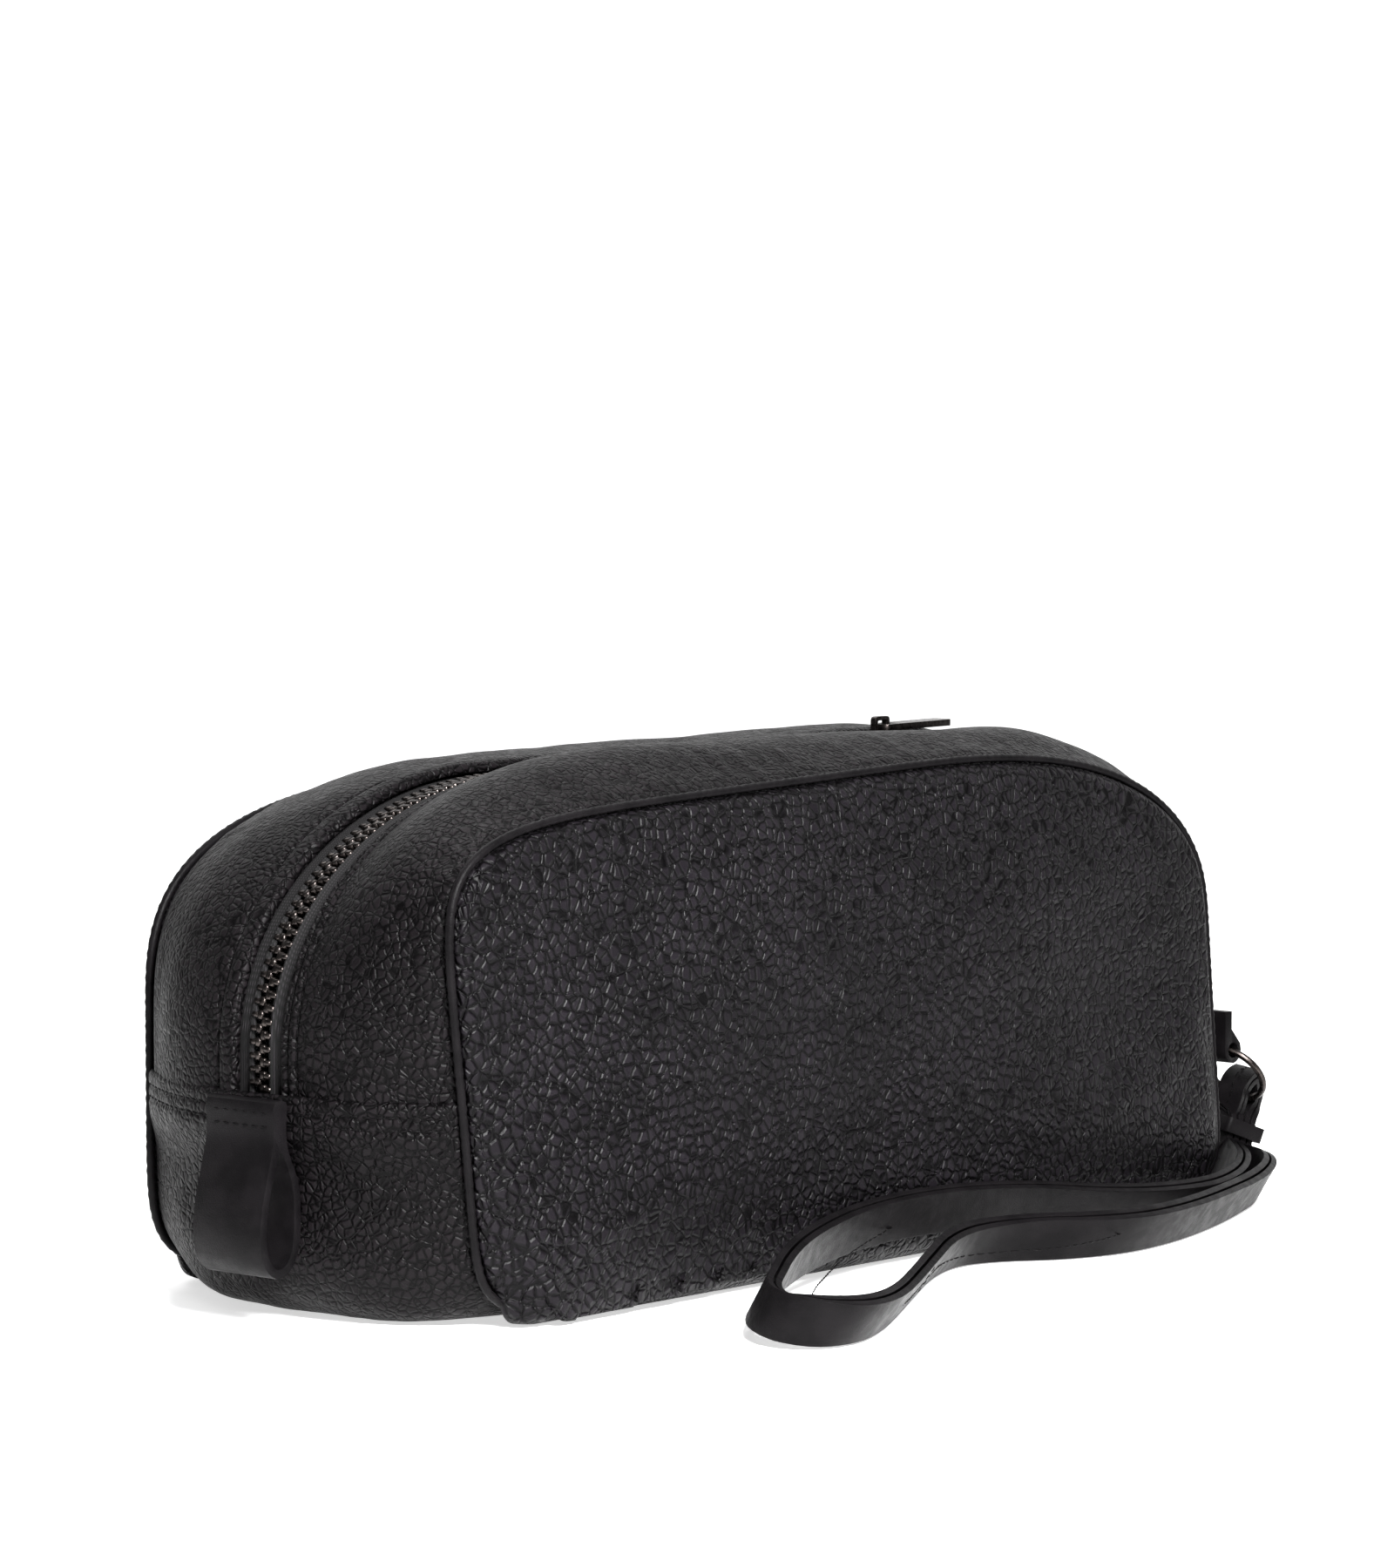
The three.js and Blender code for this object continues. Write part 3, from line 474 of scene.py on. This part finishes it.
class Nodes:
    """A short way to build a node material."""

    def __init__(self, name):
        self.material = bpy.data.materials.new(name)
        self.material.use_nodes = True
        self.tree = self.material.node_tree
        self.shader = self.tree.nodes["Principled BSDF"]
        self.coords = self.tree.nodes.new("ShaderNodeTexCoord").outputs["Object"]

    def add(self, kind, **settings):
        node = self.tree.nodes.new(kind)
        for key, value in settings.items():
            setattr(node, key, value)
        return node

    def link(self, a, b):
        self.tree.links.new(a, b)

    def noise(self, scale, detail=3.0, vector=None):
        node = self.add("ShaderNodeTexNoise")
        node.inputs["Scale"].default_value = scale
        node.inputs["Detail"].default_value = detail
        self.link(vector or self.coords, node.inputs["Vector"])
        return node.outputs["Fac"]

    def warped(self, scale, amount):
        noise = self.add("ShaderNodeTexNoise")
        noise.inputs["Scale"].default_value = scale
        noise.inputs["Detail"].default_value = 2.0
        self.link(self.coords, noise.inputs["Vector"])
        shift = self.add("ShaderNodeVectorMath", operation="MULTIPLY_ADD")
        self.link(noise.outputs["Color"], shift.inputs[0])
        shift.inputs[1].default_value = (amount, amount, amount)
        self.link(self.coords, shift.inputs[2])
        return shift.outputs[0]

    def cells(self, scale, vector, feature="DISTANCE_TO_EDGE"):
        node = self.add("ShaderNodeTexVoronoi", feature=feature)
        node.inputs["Scale"].default_value = scale
        self.link(vector, node.inputs["Vector"])
        return node

    def remap(self, value, low, high, new_low, new_high, kind="SMOOTHSTEP"):
        node = self.add("ShaderNodeMapRange", interpolation_type=kind)
        for key, number in zip(("From Min", "From Max", "To Min", "To Max"),
                               (low, high, new_low, new_high)):
            node.inputs[key].default_value = number
        self.link(value, node.inputs["Value"])
        return node.outputs["Result"]

    def math(self, operation, a, b):
        node = self.add("ShaderNodeMath", operation=operation)
        for socket, value in zip(node.inputs, (a, b)):
            if isinstance(value, (int, float)):
                socket.default_value = value
            else:
                self.link(value, socket)
        return node.outputs[0]

    def mixed(self, factor, a, b):
        node = self.add("ShaderNodeMix", data_type="RGBA")
        self.link(factor, node.inputs["Factor"])
        for key, value in (("A", a), ("B", b)):
            socket = [s for s in node.inputs if s.name == key and s.type == "RGBA"][0]
            if isinstance(value, tuple):
                socket.default_value = value + (1.0,)
            else:
                self.link(value, socket)
        return [s for s in node.outputs if s.type == "RGBA"][0]

    def bump(self, height, distance, strength=1.0, normal=None):
        node = self.add("ShaderNodeBump")
        node.inputs["Strength"].default_value = strength
        node.inputs["Distance"].default_value = distance
        self.link(height, node.inputs["Height"])
        if normal is not None:
            self.link(normal, node.inputs["Normal"])
        return node.outputs["Normal"]

    def done(self, color=None, roughness=None, normal=None):
        for key, value in (("Base Color", color), ("Roughness", roughness), ("Normal", normal)):
            if value is None:
                continue
            if isinstance(value, tuple):
                self.shader.inputs[key].default_value = value + (1.0,)
            elif isinstance(value, float):
                self.shader.inputs[key].default_value = value
            else:
                self.link(value, self.shader.inputs[key])
        return self.material


def pebbled_leather(name, cell, depth, light, dark, rough=(0.42, 0.6), specular=0.35):
    """Tumbled leather: rounded irregular pebbles parted by creases, with a painted highlight on the
    pebble tops and painted shade in the creases.
    """
    n = Nodes(name)
    n.shader.inputs["Specular IOR Level"].default_value = specular
    place = n.warped(260.0, 0.0011)
    edges = n.cells(1.0 / (cell * MM), place).outputs["Distance"]
    pebble = n.remap(edges, 0.0, 0.26, 0.0, 1.0)
    big = n.cells(1.0 / (cell * MM * 2.6), place).outputs["Distance"]
    crease = n.remap(big, 0.0, 0.06, 0.0, 1.0)
    fine = n.noise(2600.0, 3.0)
    height = n.math("ADD", n.math("MULTIPLY", pebble, 0.75), n.math("MULTIPLY", crease, 0.45))
    height = n.math("ADD", height, n.math("MULTIPLY", fine, 0.08))
    blotch = n.remap(n.noise(38.0, 3.0), 0.35, 0.68, 0.0, 1.0)
    # Painted highlight and shade: the pebble tops get the lighter colour and the creases the darker
    # one, with the strength varying in random blotches.
    pebble_highlight_and_blotch = n.math("MULTIPLY", pebble, n.math("ADD", n.math("MULTIPLY", blotch, 0.45), 0.55))
    color = n.mixed(pebble_highlight_and_blotch, dark, light)
    roughness = n.remap(n.noise(420.0, 3.0), 0.3, 0.7, rough[0], rough[1])
    return n.done(color, roughness, n.bump(height, depth * MM))


def smooth_leather(name, light, dark, rough=(0.42, 0.55), specular=0.35):
    n = Nodes(name)
    n.shader.inputs["Specular IOR Level"].default_value = specular
    place = n.warped(500.0, 0.0005)
    pores = n.remap(n.cells(1900.0, place).outputs["Distance"], 0.0, 0.25, 0.0, 1.0)
    soft = n.noise(900.0, 4.0)
    height = n.math("ADD", n.math("MULTIPLY", pores, 0.5), soft)
    color = n.mixed(n.remap(n.noise(120.0, 4.0), 0.35, 0.65, 0.0, 1.0), dark, light)
    roughness = n.remap(n.noise(300.0, 3.0), 0.3, 0.7, rough[0], rough[1])
    return n.done(color, roughness, n.bump(height, 0.05 * MM, 0.8))


def woven(name, light, dark, pitch):
    """Ribbed woven tape: fine ribs across the tape and threads along it."""
    n = Nodes(name)
    n.shader.inputs["Specular IOR Level"].default_value = 0.2
    ribs = n.add("ShaderNodeTexWave", bands_direction="Y", wave_profile="SIN")
    ribs.inputs["Scale"].default_value = 0.3 / (pitch * MM)
    ribs.inputs["Distortion"].default_value = 0.6
    n.link(n.coords, ribs.inputs["Vector"])
    threads = n.add("ShaderNodeTexWave", bands_direction="X", wave_profile="SIN")
    threads.inputs["Scale"].default_value = 0.3 / (pitch * 0.8 * MM)
    threads.inputs["Distortion"].default_value = 0.8
    n.link(n.coords, threads.inputs["Vector"])
    weave = n.math("MULTIPLY", ribs.outputs["Fac"], threads.outputs["Fac"])
    height = n.math("ADD", weave, n.math("MULTIPLY", n.noise(3000.0), 0.3))
    color = n.mixed(weave, dark, light)
    return n.done(color, 0.85, n.bump(height, 0.12 * MM))


def metal(name, light, dark, rough=(0.25, 0.42)):
    n = Nodes(name)
    n.shader.inputs["Metallic"].default_value = 1.0
    wear = n.remap(n.noise(700.0, 4.0), 0.35, 0.7, 0.0, 1.0)
    color = n.mixed(wear, dark, light)
    roughness = n.remap(n.noise(1500.0, 3.0), 0.3, 0.7, rough[0], rough[1])
    return n.done(color, roughness, n.bump(n.noise(2500.0, 3.0), 0.02 * MM, 0.5))


def thread_material(name, light, dark):
    n = Nodes(name)
    n.shader.inputs["Specular IOR Level"].default_value = 0.05
    twist = n.add("ShaderNodeTexWave", bands_direction="DIAGONAL", wave_profile="SIN")
    twist.inputs["Scale"].default_value = 900.0
    n.link(n.coords, twist.inputs["Vector"])
    color = n.mixed(twist.outputs["Fac"], dark, light)
    return n.done(color, 0.6, n.bump(twist.outputs["Fac"], 0.05 * MM))


# ---------------------------------------------------------------- stage

def make_camera():
    data = bpy.data.cameras.new("camera")
    data.sensor_fit = "HORIZONTAL"
    data.sensor_width = 36.0
    data.lens = CAMERA_LENS
    data.clip_end = 20.0
    obj = bpy.data.objects.new("camera", data)
    a, e = CAMERA_AZIMUTH, CAMERA_ELEVATION
    back = Vector((math.sin(a) * math.cos(e), -math.cos(a) * math.cos(e), math.sin(e)))
    obj.location = CAMERA_TARGET + back * CAMERA_DISTANCE
    obj.rotation_euler = back.to_track_quat("Z", "Y").to_euler()
    bpy.context.scene.collection.objects.link(obj)
    bpy.context.scene.camera = obj


def area_light(name, place, target, size, power, color=(1.0, 1.0, 1.0)):
    data = bpy.data.lights.new(name, "AREA")
    data.shape = "RECTANGLE"
    data.size, data.size_y = size
    data.energy = power
    data.color = color
    obj = bpy.data.objects.new(name, data)
    obj.location = place
    direction = Vector(place) - Vector(target)
    obj.rotation_euler = direction.to_track_quat("Z", "Y").to_euler()
    bpy.context.scene.collection.objects.link(obj)
    return obj


def stage_sheet(name, size, material, place, tilt):
    bm = bmesh.new()
    bmesh.ops.create_grid(bm, x_segments=2, y_segments=2, size=size)
    mesh = bpy.data.meshes.new(name)
    bm.to_mesh(mesh)
    bm.free()
    mesh.materials.append(material)
    sheet = bpy.data.objects.new(name, mesh)
    sheet.location = place
    sheet.rotation_euler = tilt
    bpy.context.scene.collection.objects.link(sheet)
    return sheet


def white_paper(name, albedo, glow, pool=None):
    """White paper with a little light of its own, brightest in a pool around the bag."""
    n = Nodes(name)
    n.shader.inputs["Specular IOR Level"].default_value = 0.1
    n.shader.inputs["Emission Strength"].default_value = glow
    if pool:
        shares = []
        for direction, near, far in pool:
            across = n.add("ShaderNodeVectorMath", operation="DOT_PRODUCT")
            n.link(n.coords, across.inputs[0])
            across.inputs[1].default_value = direction
            shares.append(n.remap(across.outputs["Value"], near, far, 1.0, FLOOR_DIM))
        light = n.mixed(n.math("MULTIPLY", *shares), (0.0, 0.0, 0.0), (1.0, 1.0, 1.0))
        n.link(light, n.shader.inputs["Emission Color"])
    else:
        n.shader.inputs["Emission Color"].default_value = (1.0, 1.0, 1.0, 1.0)
    return n.done((albedo, albedo, albedo), 0.8)


def make_stage():
    sideways = (math.cos(CAMERA_AZIMUTH), math.sin(CAMERA_AZIMUTH), 0.0)
    forward = (math.sin(CAMERA_AZIMUTH), -math.cos(CAMERA_AZIMUTH), 0.0)
    frame_edge = Vector(sideways) + 0.115 * Vector(forward)
    pool = ((frame_edge, 0.19, 0.34), (forward, 0.42, 0.62))
    floor = stage_sheet("floor", 5.0, white_paper("floor_paper", 0.9, FLOOR_GLOW, pool),
                        (0.0, 0.0, -0.0002), (0.0, 0.0, 0.0))
    away = Vector((-math.sin(CAMERA_AZIMUTH), math.cos(CAMERA_AZIMUTH), 0.0))
    wall = stage_sheet("backdrop", 5.0, white_paper("backdrop_paper", 0.5, 1.1),
                       away * 3.4, (math.pi / 2, 0.0, CAMERA_AZIMUTH))
    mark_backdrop(floor, wall)
    world = bpy.data.worlds.new("studio")
    world.use_nodes = True
    sky = world.node_tree.nodes["Background"]
    sky.inputs["Color"].default_value = (1.0, 1.0, 1.0, 1.0)
    sky.inputs["Strength"].default_value = WORLD_LIGHT
    bpy.context.scene.world = world
    bpy.context.scene.view_settings.view_transform = "Standard"
    key = area_light("key", (-0.42, -0.62, 0.55), (-0.10, -0.05, 0.07), (0.3, 0.3), KEY_POWER)
    key.data.spread = math.radians(75)
    area_light("top", (0.2, 0.7, 1.2), (0.0, 0.0, 0.08), (1.0, 0.6), TOP_POWER)


# ---------------------------------------------------------------- the bag

def make_panels(leather):
    for name, side in (("front_panel", -1), ("back_panel", 1)):
        columns, rows = (260, 120) if side < 0 else (140, 70)
        u, v = np.meshgrid(gathered(columns, 0.8), gathered(rows, 0.8), indexing="ij")
        x, y, z = panel_point(u, v, side)
        shell("look_" + name, x, y, z, LEATHER, leather, "bag", (name,),
              flip=side > 0)


def make_top_strips(leather):
    for name, side in (("top_gusset_front", -1), ("top_gusset_back", 1)):
        place = np.linspace(-1, 1, 420)
        slot = NEAR_EDGE if side < 0 else FAR_EDGE
        reach = SEAM_Y - 1.0 - slot
        fine = 1 - np.concatenate([np.arange(0, 7.5, 0.3) / reach])
        rest = np.linspace(0, fine[-1], 34)[:-1]
        start = np.linspace(0, rest[2], 8)[:-1]
        t = np.concatenate([start, rest[2:], fine[::-1]])
        p, tt = np.meshgrid(place, t, indexing="ij")
        x, y, z, nx, nz = top_strip(p, tt, side)
        fade = smooth((1 - np.abs(p)) / 0.2) * smooth(tt / 0.15) * smooth((1 - tt) / 0.25)
        move = soft_creases(x, y, side) * fade
        shell("look_" + name, x + nx * move, y, z + nz * move, LEATHER, leather, "bag",
              (name,), flip=side > 0)


def make_base_strip(leather):
    edge = np.linspace(0, 0.06, 26)
    middle = np.linspace(0.06, 1.0, 70)[1:]
    half = np.concatenate([edge, middle])
    place = np.concatenate([half - 1, (1 - half)[::-1][1:]])
    t = gathered(90, 0.8)
    p, tt = np.meshgrid(place, t, indexing="ij")
    x, y, z, nx, nz = base_strip(p, tt)
    slack = waves(y * 1.2, z, 41, 34) * 0.5 * smooth((1 - np.abs(tt)) / 0.3)
    slack = slack * smooth((30 - np.abs(z - 22)) / 14)
    shell("look_base_gusset", x + nx * slack, y, np.maximum(z + nz * slack, 0.25), LEATHER,
          leather, "bag", ("base_gusset",), flip=True)


def make_welts(leather):
    sides = 10
    for name, side in (("front_welt", -1), ("back_welt", 1)):
        seam = SEAM_FRONT if side < 0 else SEAM_BACK
        angle = -math.pi / 2 + np.linspace(0, 2 * math.pi, 1201)
        path = evenly(*outline(seam, angle, 0.55))
        count = 640
        x, z, nx, nz = path(np.linspace(-1, 1, count + 1)[:-1])
        far = np.linspace(0, path.length, count + 1)[:-1]
        radius = 1.0 + 0.09 * np.sin(2 * math.pi * far / STITCH_PITCH)
        vertices = []
        for k in range(sides):
            a = 2 * math.pi * k / sides
            across = math.cos(a) * radius * 1.05
            up = math.sin(a) * radius
            height = np.maximum(z + nz * up, 0.25)
            vertices.append(np.stack([x + nx * up, side * SEAM_Y + across, height], axis=1))
        vertices = np.stack(vertices, axis=1).reshape(-1, 3) * MM
        faces = []
        for i in range(count):
            m = (i + 1) % count
            for k in range(sides):
                q = (k + 1) % sides
                faces.append((i * sides + k, m * sides + k, m * sides + q, i * sides + q))
        make_object("look_" + name, vertices, faces, leather, "bag", (name,))


def box_part(center, along, across, up, half, chamfer):
    """A small bevelled block: corners of a chamfered box as (vertices, faces)."""
    a, b, c = half
    rings = [(-c, 1 - chamfer), (-c * (1 - chamfer), 1.0), (c * (1 - chamfer), 1.0),
             (c, 1 - chamfer)]
    points = []
    for lift, size in rings:
        for sx, sy in ((-1, -1), (1, -1), (1, 1), (-1, 1)):
            points.append(center + along * (a * size * sx) + across * (b * size * sy) + up * lift)
    faces = [(3, 2, 1, 0), (12, 13, 14, 15)]
    for i in range(3):
        for k in range(4):
            m = (k + 1) % 4
            faces.append((i * 4 + k, i * 4 + m, (i + 1) * 4 + m, (i + 1) * 4 + k))
    return points, faces


def make_teeth(steel):
    """Two interlocked rows of moulded teeth, each with a raised head at the middle line."""
    reach = 0.965
    count = int(ZIP_LINE.length * reach / TOOTH_PITCH)
    for name, side in (("zip_teeth_front", -1), ("zip_teeth_back", 1)):
        vertices, faces = [], []
        shift = 0.25 if side < 0 else 0.75
        for k in range(count):
            place = -reach + 2 * reach * (k + shift) / count
            x, z, nx, nz = (float(v) for v in ZIP_LINE(place))
            up = np.array([nx, 0.0, nz])
            across = np.array([0.0, float(side), 0.0])
            along = np.cross(across, up)
            base = np.array([x, 0.0, z])
            blocks = [
                (base + across * 2.1, (0.62, 1.05, TOOTH_HEIGHT / 2)),
                (base + across * 0.75, (1.02, 0.75, TOOTH_HEIGHT / 2 * 0.92)),
            ]
            for center, half in blocks:
                v, f = box_part(center, along, across, up, half, 0.28)
                start = len(vertices)
                vertices.extend(v)
                faces.extend([tuple(i + start for i in face) for face in f])
        make_object("look_" + name, np.array(vertices) * MM, faces, steel, "bag",
                    (name,))


def make_tapes(fabric):
    for name, side in (("zip_tape_front", -1), ("zip_tape_back", 1)):
        across = np.concatenate([np.linspace(2.2, 3.4, 4), np.linspace(3.7, 12.6, 12)])
        p, y = np.meshgrid(np.linspace(-0.995, 0.995, 260), across, indexing="ij")
        x, z, nx, nz = ZIP_LINE(p)
        cord = 0.55 * bell(y, 3.2, 0.5)
        shell("look_" + name, x + nx * (0.3 + cord), side * y, z + nz * (0.3 + cord), 0.6,
              fabric, "bag", (name,), flip=side < 0)


def make_stitching(thread):
    place = np.linspace(-0.985, 0.985, 900)
    rows = []
    for side, distances in ((-1, (2.5, 5.3)), (1, (5.6,))):
        slot = NEAR_EDGE if side < 0 else FAR_EDGE
        reach = SEAM_Y - 1.0 - slot
        for distance in distances:
            x, y, z, nx, nz = top_strip(place, 1 - distance / reach, side)
            normal = np.stack([nx, nx * 0, nz], axis=1)
            rows.append((np.stack([x, y + 0 * x, z], axis=1) + normal * 0.05, normal))
    stitches("zip_stitching", rows, thread, "bag", "zip_tape")
    rows = []
    for end in (-1, 1):
        for row in LAP_STITCH_ROWS:
            t = np.linspace(-0.97, 0.97, 120)
            place = end * (1 - row / (BASE_LINE.length / 2)) + 0 * t
            x, y, z, nx, nz = base_strip(place, t)
            normal = np.stack([nx, 0 * nx, nz], axis=1)
            rows.append((np.stack([x, y, z], axis=1) + normal * 0.05, normal))
    stitches("lap_stitching", rows, thread, "bag", "zip_tape")


def strap_rings(node):
    """Middles and half-width arrows of the CAD strap ply's rings (mm), from end to end."""
    bm = bmesh.new()
    bm.from_mesh(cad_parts[node].data)
    bmesh.ops.remove_doubles(bm, verts=bm.verts, dist=0.005 * MM)
    bm.verts.index_update()
    near = {v.index: {e.other_vert(v).index for e in v.link_edges} for v in bm.verts}
    place = {v.index: np.array(v.co) / MM for v in bm.verts}
    bm.free()
    ends = sorted((v for v in near if len(near[v]) < 6), key=lambda v: tuple(place[v]))
    ring = {v for v in ends if np.linalg.norm(place[v] - place[ends[0]]) < 14}
    ring = {v for v in ring if len(near[v] & ring) >= 2}
    seen = set()
    middles, arrows = [], []
    while ring:
        points = np.array([place[v] for v in sorted(ring)])
        middle = points.mean(axis=0)
        arrow = np.linalg.svd(points - middle)[2][0]
        arrow = arrow * np.abs((points - middle) @ arrow).max()
        if arrows and arrow @ arrows[-1] < 0:
            arrow = -arrow
        middles.append(middle)
        arrows.append(arrow)
        seen |= ring
        ring = {w for v in ring for w in near[v]} - seen
    return np.array(middles), np.array(arrows)


def make_strap(leather, thread):
    rows = []
    outer, arrows = strap_rings("wrist_strap_outer")
    inner, _ = strap_rings("wrist_strap_inner")
    if np.linalg.norm(outer[0] - inner[0]) > np.linalg.norm(outer[0] - inner[-1]):
        inner = inner[::-1]
    facing = outer - inner
    facing = facing / np.linalg.norm(facing, axis=1)[:, None]
    for node in ("wrist_strap_outer", "wrist_strap_inner"):
        rounded_copy(node, "look_" + node, 0.5, leather, "strap", 3, 1)
    for share in (-0.72, 0.72):
        rows.append((outer + arrows * share + facing * 0.8, facing))
    stitches("strap_stitching", rows, thread, "strap", "smooth_leather", length=2.1, radius=0.2)


def make_tab_stitching(thread):
    low, high = (np.array(corner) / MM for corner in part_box("end_tab"))
    y = np.linspace(low[1] + 1.6, high[1] - 1.6, 40)
    rows = []
    for row in LAP_STITCH_ROWS:
        x = low[0] + 4.45 + 0 * y
        z = LAP_TOP - row + 0 * y
        out = np.stack([0 * y - 1, 0 * y, 0 * y], axis=1)
        rows.append((np.stack([x, y, z], axis=1), out))
    stitches("tab_stitching", rows, thread, "tab", "smooth_leather")


def make_small_parts(smooth_hide, steel, thread):
    rounded_copy("end_tab", "look_end_tab", 0.55, smooth_hide, "tab")
    make_tab_stitching(thread)
    rounded_copy("ring_keeper", "look_ring_keeper", 0.4, smooth_hide, "bag")
    rounded_copy("strap_collar", "look_strap_collar", 0.35, smooth_hide, "strap")
    rounded_copy("strap_ring", "look_strap_ring", 0.05, steel, "ring", 1, 2)
    for node, body in (("zip_slider_top", "zip_slider"), ("zip_slider_under", "zip_slider"),
                       ("zip_slider_bail", "zip_slider"), ("zip_puller", "puller"),
                       ("zip_stop_left", "bag"), ("zip_stop_right", "bag")):
        rounded_copy(node, "look_" + node, 0.3, steel, body)


def write_size(moment, sizes):
    low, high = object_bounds()
    sizes[moment] = [list(low), list(high)]


make_camera()
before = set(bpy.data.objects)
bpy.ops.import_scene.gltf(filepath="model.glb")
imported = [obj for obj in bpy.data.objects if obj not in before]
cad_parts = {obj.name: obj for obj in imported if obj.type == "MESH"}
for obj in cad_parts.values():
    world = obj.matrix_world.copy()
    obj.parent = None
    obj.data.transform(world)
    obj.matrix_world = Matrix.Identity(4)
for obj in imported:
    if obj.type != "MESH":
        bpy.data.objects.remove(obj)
sizes = {}
write_size("cad", sizes)
make_stage()
# Each pebbled leather's first colour is the painted highlight on its pebble tops, and the second is
# the painted shade in its creases.
HIDE = pebbled_leather("panel_leather", 2.6, 0.55, (0.0075, 0.0062, 0.0080),
                       (0.0006, 0.0005, 0.0006), (0.36, 0.48), 0.08)
HIDE_FINE = pebbled_leather("gusset_leather", 2.0, 0.34, (0.0066, 0.0054, 0.0062),
                            (0.0008, 0.0007, 0.0008), (0.38, 0.5), 0.06)
HIDE_SMOOTH = smooth_leather("strap_leather", (0.0045, 0.0039, 0.0044), (0.0025, 0.0022, 0.0025),
                             (0.38, 0.5), 0.06)
TAPE = woven("tape_fabric", (0.016, 0.014, 0.016), (0.004, 0.004, 0.004), 0.7)
LINING = woven("lining_fabric", (0.03, 0.03, 0.033), (0.012, 0.012, 0.014), 0.5)
STEEL = metal("gunmetal", (0.07, 0.06, 0.056), (0.035, 0.03, 0.029))
THREAD = thread_material("thread", (0.0035, 0.003, 0.0034), (0.001, 0.001, 0.001))
make_panels(HIDE)
make_top_strips(HIDE_FINE)
make_base_strip(HIDE_FINE)
make_welts(HIDE_SMOOTH)
make_teeth(STEEL)
make_tapes(TAPE)
make_stitching(THREAD)
make_strap(HIDE_SMOOTH, THREAD)
make_small_parts(HIDE_SMOOTH, STEEL, THREAD)
for lining in ("front_lining", "back_lining", "top_lining_front", "top_lining_back",
               "base_lining"):
    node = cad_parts[lining]
    for material_slot in node.material_slots:
        material_slot.material = LINING
write_size("look", sizes)
